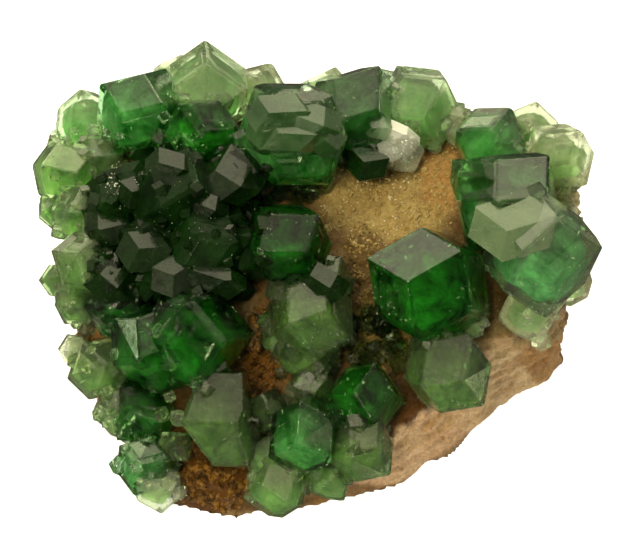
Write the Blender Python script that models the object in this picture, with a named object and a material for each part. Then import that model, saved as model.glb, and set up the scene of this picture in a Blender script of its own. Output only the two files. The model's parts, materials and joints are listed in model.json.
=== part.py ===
"""Grossular garnet specimen: clear green dodecahedral crystals crusting a loose piece of tan rock.

Metres, +Z up. The rock rests on its flat broken underside at Z = 0. The crystals are set out as
they are seen from in front (looking along +Y) and LOOK_DOWN above the ground.
"""

import math
import random

import bmesh
import bpy
from mathutils import Euler, Matrix, Vector, noise

MM = 0.001
LOOK_DOWN = math.radians(60)
GAP = 0.3 * MM

# Rock, in mm: the plan of its flat broken base and that of the rim where its top begins, corner by
# corner, counter-clockwise from the right front
BASE_PLAN = [
    (12.4, -5.2), (12.0, -2.0), (11.2, 1.5), (9.0, 4.0), (6.0, 5.6), (1.5, 6.3), (-3.2, 6.2),
    (-7.4, 5.0), (-9.8, 2.0), (-10.8, -2.0), (-10.4, -6.5), (-9.0, -10.8), (-7.0, -13.5),
    (-4.1, -14.2), (-1.3, -13.7), (1.3, -13.1), (4.4, -12.1), (7.0, -10.0), (9.3, -8.2), (11.7, -6.4),
]
RIM_PLAN = [
    (12.6, -4.6), (13.4, -1.5), (13.3, 1.5), (11.0, 4.5), (6.8, 6.4), (1.5, 7.0), (-3.5, 7.0),
    (-8.3, 6.2), (-11.2, 3.4), (-12.2, -1.0), (-11.6, -5.5), (-9.8, -9.8), (-7.4, -12.6),
    (-4.2, -13.5), (-1.3, -13.0), (1.2, -12.4), (4.0, -11.0), (6.5, -9.1), (8.6, -7.3), (11.3, -5.7),
]
PLAN_CENTRE = (0.5, -3.5)
STEPS_PER_SIDE = 2
TOP_LEVEL = 6.6           # height of the level part of the rock's top
FRONT_START = -3.0        # the top falls away in front of this Y
FRONT_FALL = (0.5, 0.4)   # how steeply, on the left and on the right
FRONT_CHANGE = (-2.0, 2.0)  # the X between which one changes into the other
BACK_START = 3.0
BACK_FALL = 0.4
LEFT_START = -7.0
LEFT_FALL = 0.5
SIDE_RINGS = [0.0, 0.35, 0.7]                      # part of the way from the base up to the rim
TOP_RINGS = [1.0, 0.87, 0.74, 0.6, 0.46, 0.3, 0.15]  # part of the way from the centre out to the rim
ROUGHNESS = [(0.42, 2.6), (0.2, 1.1)]              # noise height and spacing
ROCK_SEED = 4
RIDGE = {
    "across": -3.1, "up": -3.1, "over_rock": 0.3, "lean": 8,
    "half_length": 1.2, "half_width": 0.5, "half_height": 1.0, "bump_height": 0.15, "bumps": 2.0,
}

# Crystals, in mm. Each row is: across and up as seen from in front, height of the centre over the rock
# as a part of its size, size (centre to face), and turn in degrees (about right, up and the line of sight).
# A last value, where there is one, lists where it is cut short: direction as seen, and distance.
CLUSTERS = {
    "garnets_left_edge": [
        (-11.2, 7.2, 0.7, 1.55, (30, 20, 25)),
        (-10.6, 5.6, 0.5, 1.10, (70, -15, 50)),
        (-12.35, 4.9, 0.7, 1.45, (60, -25, 40)),
        (-12.9, 3.0, 0.4, 0.80, (20, 50, 10)),
        (-11.65, 2.7, 0.7, 1.30, (75, 15, 120)),
        (-10.7, 1.6, 0.5, 1.00, (30, 70, 45)),
        (-11.4, 0.3, 0.7, 1.40, (110, -30, 60)),
        (-12.7, -0.5, 0.4, 0.80, (15, -40, 80)),
        (-11.8, -1.7, 0.5, 1.00, (45, 45, 0)),
    ],
    "garnets_top_left": [
        (-8.65, 7.9, 0.9, 1.90, (110, -20, 145)),
        (-5.4, 8.9, 0.8, 1.85, (140, 5, 90)),
        (-7.0, 9.6, 0.7, 0.95, (35, 60, 15)),
        (-5.7, 6.8, 0.7, 1.65, (55, 35, 70)),
        (-2.8, 8.9, 0.9, 1.15, (25, 10, 65)),
    ],
    "garnets_top": [
        (-1.1, 6.7, 0.9, 2.35, (75, -30, 45)),
        (0.6, 8.7, 0.6, 1.15, (40, 65, 20)),
        (2.1, 7.9, 0.8, 1.95, (160, -25, 65)),
        (3.6, 8.7, 0.5, 1.10, (75, 20, 15)),
        (5.15, 8.1, 0.7, 1.80, (155, -40, 45)),
        (2.9, 5.6, 0.5, 1.00, (85, -25, 155)),
        (4.3, 6.0, 0.6, 1.00, (40, 10, 120)),
    ],
    "garnets_middle": [
        (-6.9, 3.6, 0.6, 2.00, (50, 70, 35)),
        (-9.6, 3.3, 0.6, 1.60, (-20, -65, 175)),
        (-8.1, 1.3, 0.8, 1.30, (-20, -65, -95)),
        (-10.0, -0.2, 0.6, 1.25, (95, -20, 150)),
        (-5.3, 1.0, 0.6, 1.75, (100, 40, 30)),
        (-5.6, 3.0, 1.2, 0.80, (20, 25, 130)),
        (-4.2, 2.2, 0.7, 0.90, (70, 15, 75)),
        (-7.7, -0.5, 0.7, 1.05, (65, 20, 10)),
        (-3.6, 4.7, 0.9, 1.30, (105, -20, 155)),
        (-3.3, 0.9, 0.5, 1.25, (15, 55, 65)),
        (-1.35, 1.3, 0.7, 1.85, (110, -55, -160)),
    ],
    "garnets_left": [
        (-9.5, -1.9, 0.5, 1.45, (15, 35, 95)),
        (-7.7, -3.8, 0.7, 2.05, (65, 10, 150)),
        (-6.0, -3.3, 0.9, 2.20, (95, -55, 90)),
    ],
    "garnets_right": [
        (7.4, 7.0, 0.4, 0.90, (65, 30, 5)),
        (8.7, 6.4, 0.7, 1.50, (35, -20, 60)),
        (10.8, 6.9, 0.5, 1.20, (120, 30, 10)),
        (12.15, 5.65, 0.7, 1.45, (75, 55, 30)),
        (9.6, 3.3, 0.8, 2.30, (140, -80, 180)),
        (11.2, 0.8, 1.1, 2.35, (100, -70, 175)),
        (10.7, -2.0, 0.3, 1.25, (25, 75, 40)),
        (12.7, -0.6, 0.3, 0.95, (55, 15, 85)),
    ],
    "garnets_centre_right": [
        (5.6, -0.85, 0.7, 2.50, (130, -15, 155)),
        (6.55, -4.95, 0.6, 1.85, (165, -35, 55)),
        (7.8, -2.7, 0.6, 0.65, (45, 30, 20)),
    ],
    "garnets_lower_left": [
        (-10.6, -4.9, 0.6, 1.40, (40, -25, 15)),
        (-11.7, -4.0, 0.3, 0.60, (10, 30, 50)),
        (-9.4, -7.0, 0.5, 1.20, (65, 40, 80)),
        (-8.5, -7.2, 0.6, 1.35, (25, 15, 45)),
        (-8.3, -9.6, 0.6, 1.30, (115, 25, 65)),
        (-7.8, -10.6, 0.3, 1.10, (70, -35, 20)),
    ],
    "garnet_front_left": [
        (-5.1, -7.15, 0.5, 2.30, (120, -65, -170), [
            ((1, 0.1, 0.2), 1.95), ((-0.9, 0.4, 0), 1.3), ((-0.8, -0.6, 0), 1.45), ((0.05, 1, 0), 2.3),
        ]),
    ],
    "garnets_centre": [
        (-0.2, -2.3, 0.9, 1.80, (140, 60, 25)),
        (-0.3, -3.9, 0.5, 1.45, (60, 25, 95)),
        (0.65, -0.4, 0.6, 0.95, (35, 65, 0)),
        (-1.8, -3.0, 0.3, 1.05, (20, 40, 75)),
    ],
    "garnets_lower_middle": [
        (-0.1, -5.5, 0.7, 0.95, (90, 35, 15)),
        (-0.45, -8.1, 0.8, 1.65, (50, 15, 30)),
        (2.5, -6.3, 0.6, 1.50, (30, 55, 110)),
        (2.2, -8.9, 0.6, 1.45, (80, -20, 55)),
        (-1.9, -10.7, 0.5, 1.30, (15, -30, 100)),
        (-2.4, -9.3, 0.4, 0.95, (55, 50, 35)),
        (-2.4, -7.0, 0.5, 0.95, (100, 10, 70)),
        (0.8, -10.3, 0.3, 0.95, (35, 80, 65)),
    ],
}
UNEVEN = 0.06             # how far a face may stand in or out, as a part of the size
TRIM = (1.10, 1.19)       # least and greatest distance of the faces that trim the edges, as a part of
                          # the size: beyond 1.155 they miss, and the edges are sharp
SEAT_STEPS = 20           # steps that find where a line of sight meets the rock
GARNET_IOR = 1.735

ROCK_COLOUR = (0.30, 0.20, 0.10, 1.0)
GREEN = (0.02, 0.16, 0.02, 1.0)
PALE_GREEN = (0.25, 0.38, 0.16, 1.0)
PALE_CLUSTERS = {"garnets_left_edge", "garnets_lower_left"}


def clear_scene():
    for thing in list(bpy.data.objects):
        bpy.data.objects.remove(thing, do_unlink=True)


def material(name, colour, roughness, clear=0.0):
    made = bpy.data.materials.new(name)
    made.use_nodes = True
    shader = made.node_tree.nodes["Principled BSDF"]
    shader.inputs["Base Color"].default_value = colour
    shader.inputs["Roughness"].default_value = roughness
    shader.inputs["Metallic"].default_value = 0.0
    if clear:
        shader.inputs["Transmission Weight"].default_value = clear
        shader.inputs["IOR"].default_value = GARNET_IOR
    return made


def new_object(name, shape, finish):
    mesh = bpy.data.meshes.new(name)
    shape.to_mesh(mesh)
    shape.free()
    thing = bpy.data.objects.new(name, mesh)
    thing.data.materials.append(finish)
    bpy.context.scene.collection.objects.link(thing)
    return thing


def fall(distance, slope):
    return slope * max(0.0, distance)


def rock_height(x, y):
    """Height of the smooth top of the rock at a point of the plan, in mm."""
    start, end = FRONT_CHANGE
    right = min(1.0, max(0.0, (x - start) / (end - start)))
    front_slope = FRONT_FALL[0] + (FRONT_FALL[1] - FRONT_FALL[0]) * right
    height = TOP_LEVEL - fall(FRONT_START - y, front_slope)
    return height - fall(y - BACK_START, BACK_FALL) - fall(LEFT_START - x, LEFT_FALL)


def plan_points(plan):
    """The plan's corners, with each side between them in equal steps."""
    points = []
    for i, corner in enumerate(plan):
        start = Vector(corner)
        end = Vector(plan[(i + 1) % len(plan)])
        points += [start.lerp(end, step / STEPS_PER_SIDE) for step in range(STEPS_PER_SIDE)]
    return points


def roughened(point):
    """The point moved as the broken surface of the rock is uneven, in mm."""
    moved = point.copy()
    for height, spacing in ROUGHNESS:
        moved += height * noise.noise_vector(point / spacing)
    return moved


def rock_shape(grow=0.0):
    """The rock as rings of points from its flat base up over its top, moved out by grow."""
    centre = Vector(PLAN_CENTRE)
    rim = plan_points(RIM_PLAN)
    shape = bmesh.new()
    rings = []
    for part in SIDE_RINGS:
        ring = []
        for low, high in zip(plan_points(BASE_PLAN), rim):
            flat = low.lerp(high, part)
            point = roughened(Vector((flat.x, flat.y, part * rock_height(high.x, high.y))))
            if part == 0.0:
                point.z = 0.0
            ring.append(shape.verts.new(point * MM))
        rings.append(ring)
    for part in TOP_RINGS:
        ring = []
        for spot in rim:
            flat = centre.lerp(spot, part)
            point = Vector((flat.x, flat.y, rock_height(flat.x, flat.y)))
            point = point.lerp(roughened(point), part)
            ring.append(shape.verts.new(point * MM))
        rings.append(ring)
    for lower, upper in zip(rings, rings[1:]):
        for i in range(len(rim)):
            j = (i + 1) % len(rim)
            shape.faces.new((lower[i], lower[j], upper[j], upper[i]))
    shape.faces.new(rings[-1])
    shape.faces.new(list(reversed(rings[0])))
    bmesh.ops.triangulate(shape, faces=[face for face in shape.faces if len(face.verts) == 4])
    if grow:
        shape.normal_update()
        moves = [(vert, vert.normal * grow) for vert in shape.verts]
        for vert, move in moves:
            vert.co += move
    return shape


def view_axes():
    """Right, up and towards the eye, for the view from in front that the crystals are set out in."""
    return Matrix((
        (1.0, 0.0, 0.0),
        (0.0, math.sin(LOOK_DOWN), -math.cos(LOOK_DOWN)),
        (0.0, math.cos(LOOK_DOWN), math.sin(LOOK_DOWN)),
    ))


def seat(across, up, over_rock):
    """The point seen at (across, up) that is over_rock above the smooth rock, all in mm."""
    height = TOP_LEVEL
    for _ in range(SEAT_STEPS):
        y = (up - height * math.cos(LOOK_DOWN)) / math.sin(LOOK_DOWN)
        height = rock_height(across, y) + over_rock
    return Vector((across, y, height))


def ridge_shape(grow=0.0):
    """The long lump of rock that stands between the crystals, moved out by grow."""
    shape = bmesh.new()
    bmesh.ops.create_icosphere(shape, subdivisions=2, radius=1.0)
    for vert in shape.verts:
        vert.co += RIDGE["bump_height"] * noise.noise_vector(vert.co * RIDGE["bumps"])
    more = grow / MM
    width = RIDGE["half_width"] + more
    stretch = Matrix.Diagonal((width, RIDGE["half_length"] + more, RIDGE["half_height"] + more, 1.0))
    lean = Matrix.Rotation(math.radians(RIDGE["lean"]), 4, "Z")
    place = Matrix.Translation(seat(RIDGE["across"], RIDGE["up"], RIDGE["over_rock"]))
    bmesh.ops.transform(shape, matrix=Matrix.Scale(MM, 4) @ place @ lean @ stretch, verts=shape.verts)
    return shape


def take_in(shape, other):
    """Adds the other shape's surface to shape and frees the other."""
    mesh = bpy.data.meshes.new("taken_in")
    other.to_mesh(mesh)
    other.free()
    shape.from_mesh(mesh)
    bpy.data.meshes.remove(mesh)


def garnet_planes(size, uneven):
    """Directions and distances of the twelve dodecahedron faces, then of the 24 that trim its edges."""
    planes = []
    for first in range(3):
        for second in range(first + 1, 3):
            for a in (-1, 1):
                for b in (-1, 1):
                    direction = Vector((0, 0, 0))
                    direction[first] = a
                    direction[second] = b
                    planes.append((direction.normalized(), size * (1 + uneven.uniform(-UNEVEN, UNEVEN))))
    trim = size * uneven.uniform(*TRIM)
    for longest in range(3):
        for corner in range(8):
            direction = Vector([1 if corner >> axis & 1 else -1 for axis in range(3)])
            direction[longest] *= 2
            planes.append((direction.normalized(), trim))
    return planes


def add_garnet(shape, row, seed, grow=0.0):
    """Adds one crystal to shape: a block cut down to its faces."""
    across, up, over_rock, size, turn = row[:5]
    tilted = view_axes() @ Euler([math.radians(angle) for angle in turn], "XYZ").to_matrix()
    planes = garnet_planes(size, random.Random(seed))
    for seen, distance in row[5] if len(row) > 5 else []:
        direction = tilted.transposed() @ view_axes() @ Vector(seen)
        planes.append((direction.normalized(), distance))
    crystal = bmesh.new()
    bmesh.ops.create_cube(crystal, size=4 * size)
    for direction, distance in planes:
        everything = crystal.verts[:] + crystal.edges[:] + crystal.faces[:]
        cut = bmesh.ops.bisect_plane(
            crystal, geom=everything, dist=1e-6, plane_co=direction * (distance + grow / MM),
            plane_no=direction, clear_outer=True,
        )
        rim = [part for part in cut["geom_cut"] if isinstance(part, bmesh.types.BMEdge)]
        if len(rim) > 2:
            bmesh.ops.contextual_create(crystal, geom=rim)
    bmesh.ops.recalc_face_normals(crystal, faces=crystal.faces)
    place = Matrix.Translation(seat(across, up, over_rock * size)) @ tilted.to_4x4()
    bmesh.ops.transform(crystal, matrix=Matrix.Scale(MM, 4) @ place, verts=crystal.verts)
    take_in(shape, crystal)


def numbered_rows():
    """Every cluster's rows with a number of their own, which seeds their unevenness."""
    number = 0
    for name, rows in CLUSTERS.items():
        numbered = []
        for row in rows:
            numbered.append((number, row))
            number += 1
        yield name, numbered


def add_boolean(thing, other, operation):
    step = thing.modifiers.new(operation.lower(), "BOOLEAN")
    step.operation = operation
    step.object = other
    step.solver = "EXACT"
    step.use_self = True


def helper(thing):
    thing.hide_render = True
    thing.display_type = "WIRE"
    return thing


def make_rock():
    finish = material("matrix_stone", ROCK_COLOUR, 0.9)
    rock = new_object("matrix_rock", rock_shape(), finish)
    ridge = helper(new_object("ridge", ridge_shape(), finish))
    add_boolean(rock, ridge, "UNION")


def make_clusters():
    """Each cluster is cut clear of the rock and of the clusters before it."""
    green = material("green_garnet", GREEN, 0.06, clear=1.0)
    pale = material("pale_garnet", PALE_GREEN, 0.1, clear=1.0)
    cleared = rock_shape(grow=GAP)
    take_in(cleared, ridge_shape(grow=GAP))
    for name, rows in numbered_rows():
        finish = pale if name in PALE_CLUSTERS else green
        shape = bmesh.new()
        for seed, row in rows:
            add_garnet(shape, row, seed)
        cluster = new_object(name, shape, finish)
        cutter = helper(new_object("clear_of_" + name, cleared.copy(), finish))
        add_boolean(cluster, cutter, "DIFFERENCE")
        for seed, row in rows:
            add_garnet(cleared, row, seed, grow=GAP)
    cleared.free()


clear_scene()
noise.seed_set(ROCK_SEED)
make_rock()
make_clusters()
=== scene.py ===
import json
import math
import random
from itertools import islice
import bpy
from mathutils import Euler, Matrix, Vector, noise
from mathutils.bvhtree import BVHTree

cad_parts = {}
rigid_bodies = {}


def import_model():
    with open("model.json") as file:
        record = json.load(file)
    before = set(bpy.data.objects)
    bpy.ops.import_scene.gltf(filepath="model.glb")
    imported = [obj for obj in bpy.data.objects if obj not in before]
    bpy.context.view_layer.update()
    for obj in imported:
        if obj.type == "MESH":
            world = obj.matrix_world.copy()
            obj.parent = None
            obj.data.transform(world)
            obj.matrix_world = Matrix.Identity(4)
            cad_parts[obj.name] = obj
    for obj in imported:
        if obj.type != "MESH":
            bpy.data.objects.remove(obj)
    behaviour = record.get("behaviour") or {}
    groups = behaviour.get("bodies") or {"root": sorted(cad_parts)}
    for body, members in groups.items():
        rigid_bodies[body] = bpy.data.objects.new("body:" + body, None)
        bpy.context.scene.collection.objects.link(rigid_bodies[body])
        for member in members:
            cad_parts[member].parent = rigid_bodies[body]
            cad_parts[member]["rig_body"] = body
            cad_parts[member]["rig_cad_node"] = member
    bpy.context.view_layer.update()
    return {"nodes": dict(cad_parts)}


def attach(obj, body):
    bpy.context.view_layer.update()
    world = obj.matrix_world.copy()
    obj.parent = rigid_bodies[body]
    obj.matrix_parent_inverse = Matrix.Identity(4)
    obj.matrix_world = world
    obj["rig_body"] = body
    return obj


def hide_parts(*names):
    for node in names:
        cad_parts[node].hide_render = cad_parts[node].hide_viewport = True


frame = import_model()

mm = 0.001
lookDown = math.radians(60)  # the crystals are set out as seen from in front at this height
high = 60  # in mm, well above the specimen
noise.seed_set(5)

# the top of the rock that the crystals stand on, in mm
rockTop = {"level": 6.6, "frontStart": -3.0, "frontFall": (0.5, 0.4), "frontChange": (-2.0, 2.0),
           "backStart": 3.0, "backFall": 0.4, "leftStart": -7.0, "leftFall": 0.5}

# each crystal: across and up as seen, height over the rock and size (centre to face) in mm,
# turn in degrees, tone of green, and where it is cut short
clusters = {
    "crystalsLeftEdge": {"node": "garnets_left_edge", "slot": "pale_garnet", "crystals": [
        (-11.2, 7.2, 0.7, 1.55, (30, 20, 25), "pale"),
        (-10.6, 5.6, 0.5, 1.10, (70, -15, 50), "leaf"),
        (-12.35, 4.9, 0.7, 1.45, (60, -25, 40), "leaf"),
        (-12.9, 3.0, 0.4, 0.80, (20, 50, 10), "leaf"),
        (-11.65, 2.7, 0.7, 1.30, (75, 15, 120), "leaf"),
        (-10.7, 1.6, 0.5, 1.00, (30, 70, 45), "leaf"),
        (-11.4, 0.3, 0.7, 1.40, (110, -30, 60), "leaf"),
        (-12.7, -0.5, 0.4, 0.80, (15, -40, 80), "leaf"),
        (-11.8, -1.7, 0.5, 1.00, (45, 45, 0), "leaf"),
    ]},
    "crystalsTopLeft": {"node": "garnets_top_left", "crystals": [
        (-8.65, 7.9, 0.9, 1.90, (110, -20, 145), "mid"),
        (-5.4, 8.9, 0.8, 1.85, (140, 5, 90), "pale"),
        (-7.0, 9.6, 0.7, 0.95, (35, 60, 15), "straw"),
        (-5.7, 6.8, 0.7, 1.65, (55, 35, 70), "dusk"),
        (-2.8, 8.9, 0.9, 1.15, (25, 10, 65), "straw"),
    ]},
    "crystalsTop": {"node": "garnets_top", "steps": (2, 3, 4), "rise": 0.08,
                    "stepsFrom": 2.2, "crystals": [
        (-1.1, 6.7, 0.9, 2.35, (75, -30, 45), "mid"),
        (0.6, 8.7, 0.6, 1.15, (40, 65, 20), "pale"),
        (2.1, 7.9, 0.8, 1.95, (160, -25, 65), "mid"),
        (3.6, 8.7, 0.5, 1.10, (75, 20, 15), "pale"),
        (5.15, 8.1, 0.7, 1.80, (155, -40, 45), "pale"),
        (2.9, 5.6, 0.5, 1.00, (85, -25, 155), "mid"),
        (4.3, 6.0, 0.6, 1.00, (40, 10, 120), "clear"),
    ]},
    "crystalsMiddle": {"node": "garnets_middle", "steps": (0, 0, 1), "crystals": [
        (-6.9, 3.6, 0.6, 2.00, (50, 70, 35), "dark"),
        (-9.6, 3.3, 0.6, 1.60, (-20, -65, 175), "dark"),
        (-8.1, 1.3, 0.8, 1.30, (-20, -65, -95), "dark"),
        (-10.0, -0.2, 0.6, 1.25, (95, -20, 150), "deep"),
        (-5.3, 1.0, 0.6, 1.75, (100, 40, 30), "dark"),
        (-5.6, 3.0, 1.2, 0.80, (20, 25, 130), "dark"),
        (-4.2, 2.2, 0.7, 0.90, (70, 15, 75), "dark"),
        (-7.7, -0.5, 0.7, 1.05, (65, 20, 10), "dark"),
        (-3.6, 4.7, 0.9, 1.30, (105, -20, 155), "deep"),
        (-3.3, 0.9, 0.5, 1.25, (15, 55, 65), "dark"),
        (-1.35, 1.3, 0.7, 1.85, (110, -55, -160), "deep"),
    ]},
    "crystalsLeft": {"node": "garnets_left", "crystals": [
        (-9.5, -1.9, 0.5, 1.45, (15, 35, 95), "deep"),
        (-7.7, -3.8, 0.7, 2.05, (65, 10, 150), "deep"),
        (-6.0, -3.3, 0.9, 2.20, (95, -55, 90), "deep"),
    ]},
    "crystalsRight": {"node": "garnets_right", "crystals": [
        (7.4, 7.0, 0.4, 0.90, (65, 30, 5), "straw"),
        (8.7, 6.4, 0.7, 1.50, (35, -20, 60), "mid"),
        (10.8, 6.9, 0.5, 1.20, (120, 30, 10), "straw"),
        (12.15, 5.65, 0.7, 1.45, (75, 55, 30), "straw"),
        (9.6, 3.3, 0.8, 2.30, (140, -80, 180), "mid"),
        (11.2, 0.8, 1.1, 2.35, (100, -70, 175), "rimmed"),
        (10.7, -2.0, 0.3, 1.25, (25, 75, 40), "straw"),
        (12.7, -0.6, 0.3, 0.95, (55, 15, 85), "straw"),
    ]},
    "crystalsCentreRight": {"node": "garnets_centre_right", "crystals": [
        (5.6, -0.85, 0.7, 2.50, (130, -15, 155), "deep"),
        (6.55, -4.95, 0.6, 1.85, (165, -35, 55), "cloudy"),
        (7.8, -2.7, 0.6, 0.65, (45, 30, 20), "straw"),
    ]},
    "crystalsLowerLeft": {"node": "garnets_lower_left", "slot": "pale_garnet", "crystals": [
        (-10.6, -4.9, 0.6, 1.40, (40, -25, 15), "leaf"),
        (-11.7, -4.0, 0.3, 0.60, (10, 30, 50), "straw"),
        (-9.4, -7.0, 0.5, 1.20, (65, 40, 80), "leaf"),
        (-8.5, -7.2, 0.6, 1.35, (25, 15, 45), "dusk"),
        (-8.3, -9.6, 0.6, 1.30, (115, 25, 65), "mid"),
        (-7.8, -10.6, 0.3, 1.10, (70, -35, 20), "straw"),
    ]},
    "crystalFrontLeft": {"node": "garnet_front_left", "crystals": [
        (-5.1, -7.15, 0.5, 2.30, (120, -65, -170), "cloudy", [
            ((1, 0.1, 0.2), 1.95), ((-0.9, 0.4, 0), 1.3), ((-0.8, -0.6, 0), 1.45), ((0.05, 1, 0), 2.3)]),
    ]},
    "crystalsCentre": {"node": "garnets_centre", "crystals": [
        (-0.2, -2.3, 0.9, 1.80, (140, 60, 25), "cloudy"),
        (-0.3, -3.9, 0.5, 1.45, (60, 25, 95), "cloudy"),
        (0.65, -0.4, 0.6, 0.95, (35, 65, 0), "cloudy"),
        (-1.8, -3.0, 0.3, 1.05, (20, 40, 75), "cloudy"),
    ]},
    "crystalsLowerMiddle": {"node": "garnets_lower_middle", "crystals": [
        (-0.1, -5.5, 0.7, 0.95, (90, 35, 15), "cloudy"),
        (-0.45, -8.1, 0.8, 1.65, (50, 15, 30), "mid"),
        (2.5, -6.3, 0.6, 1.50, (30, 55, 110), "dusk"),
        (2.2, -8.9, 0.6, 1.45, (80, -20, 55), "cloudy"),
        (-1.9, -10.7, 0.5, 1.30, (15, -30, 100), "leaf"),
        (-2.4, -9.3, 0.4, 0.95, (55, 50, 35), "leaf"),
        (-2.4, -7.0, 0.5, 0.95, (100, 10, 70), "cloudy"),
        (0.8, -10.3, 0.3, 0.95, (35, 80, 65), "leaf"),
    ]},
}
# the cube that a crystal is cut from, how far its faces and edges stand, in shares of its size; then
# which corners merge, which slivers go and how wide its worn edges are, in mm, and the least angle of a
# worn edge in degrees
crystalForm = {"block": 4.4, "uneven": 0.06, "trim": (1.10, 1.19), "merge": 0.05, "sliver": 0.01,
               "edge": 0.03, "angle": 25}
# small crystals: where as seen, how near to a second crystal or to the rock, and their size in mm
small = {"models": 6, "sunk": 0.35, "apart": 1.42, "patches": [
    {"at": (0, 0), "reach": (14, 11), "tries": 1500, "near": 0.3, "size": (0.30, 0.75)},
    {"at": (0, 0), "reach": (14, 11), "tries": 2000, "near": 0.25, "size": (0.15, 0.35)},
    {"at": (-6.4, 2.2), "reach": (4.6, 3.4), "tries": 110, "near": 9, "size": (0.25, 0.60), "tone": "facet"},
    {"at": (-11.4, 1.0), "reach": (1.8, 6.0), "tries": 160, "near": 9, "size": (0.20, 0.50)},
    {"at": (-8.8, -8.6), "reach": (2.2, 2.8), "tries": 90, "near": 9, "size": (0.20, 0.50)},
]}
# small crystals with a face that mirrors the soft box: across and up as seen, half length and half
# width of that face, how far it stands out, all in mm, its turn in degrees, the tone, and for the one
# that faces another way, its direction as seen
facets = [
    (-3.95, 5.0, 1.40, 1.60, 0.30, -30, "facet"), (-7.1, 5.4, 1.20, 0.80, 0.20, -15, "facet"),
    (-5.4, 3.2, 1.00, 0.80, 0.35, -20, "facet"), (-10.0, 2.6, 1.20, 1.20, 0.20, 100, "facet"),
    (-8.2, 1.3, 1.35, 1.20, 0.25, 15, "facet"), (-6.9, 0.2, 1.30, 1.00, 0.15, 50, "facet"),
    (-5.1, -0.2, 1.50, 0.70, 0.35, -18, "facet"), (0.4, -0.4, 1.10, 0.80, 0.25, -35, "facet"),
    (7.9, 4.1, 1.10, 1.40, 0.30, 80, "dusk", (-0.50, -0.40, 0.75)),
    (-8.9, 4.1, 0.80, 0.80, 0.20, 30, "facet"), (-9.9, -0.3, 1.20, 1.10, 0.20, -40, "facet"),
    # the white plate at 3.9, 6.95 is a painted highlight, a frosted face as bright as a shining one
    (9.9, 2.6, 2.20, 2.00, 0.45, 33, "mist"), (3.9, 6.95, 1.20, 0.50, 0.40, -28, "white"),
    (2.7, 5.6, 1.00, 1.00, 0.25, 25, "facet"), (-1.6, 8.1, 1.60, 1.10, 0.14, 12, "haze"),
    (-0.4, 7.8, 1.50, 1.10, 0.20, -18, "haze"), (-1.1, 7.1, 1.70, 1.00, 0.10, 2, "haze"),
    (0.3, 7.0, 1.00, 0.80, 0.14, -40, "haze"), (-2.4, 7.2, 0.90, 0.90, 0.10, 30, "haze"),
]
facetDepth = 0.7  # half the depth of such a crystal, in mm
# thin plates of later growth on the faces of the larger crystals, in mm and shares of the size
growth = {"from": 1.25, "steps": (0, 1, 1, 2), "share": (0.84, 0.96), "less": 0.04, "rise": 0.035,
          "askew": 0.3, "uneven": (0.9, 1.1), "widest": 0.99, "seenFrom": (0.1, 0.35, 1), "facing": 0.45}
# the cloudy heart: its zones, how finely it is cut, its lumps in mm, its brightness that differs at random
# from crystal to crystal, and the side where its veils are painted lighter, a painted light gathering at the
# lower front, with how strong that is and how dark the far side may go
hearts = {"zones": (1.0, 0.66), "cuts": 3, "lump": 0.8, "lumpy": 0.35, "brightness": (0.75, 1.25),
          "thickest": (-0.3, -0.9, 0.3), "contrast": 0.8, "least": 0.12}

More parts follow.
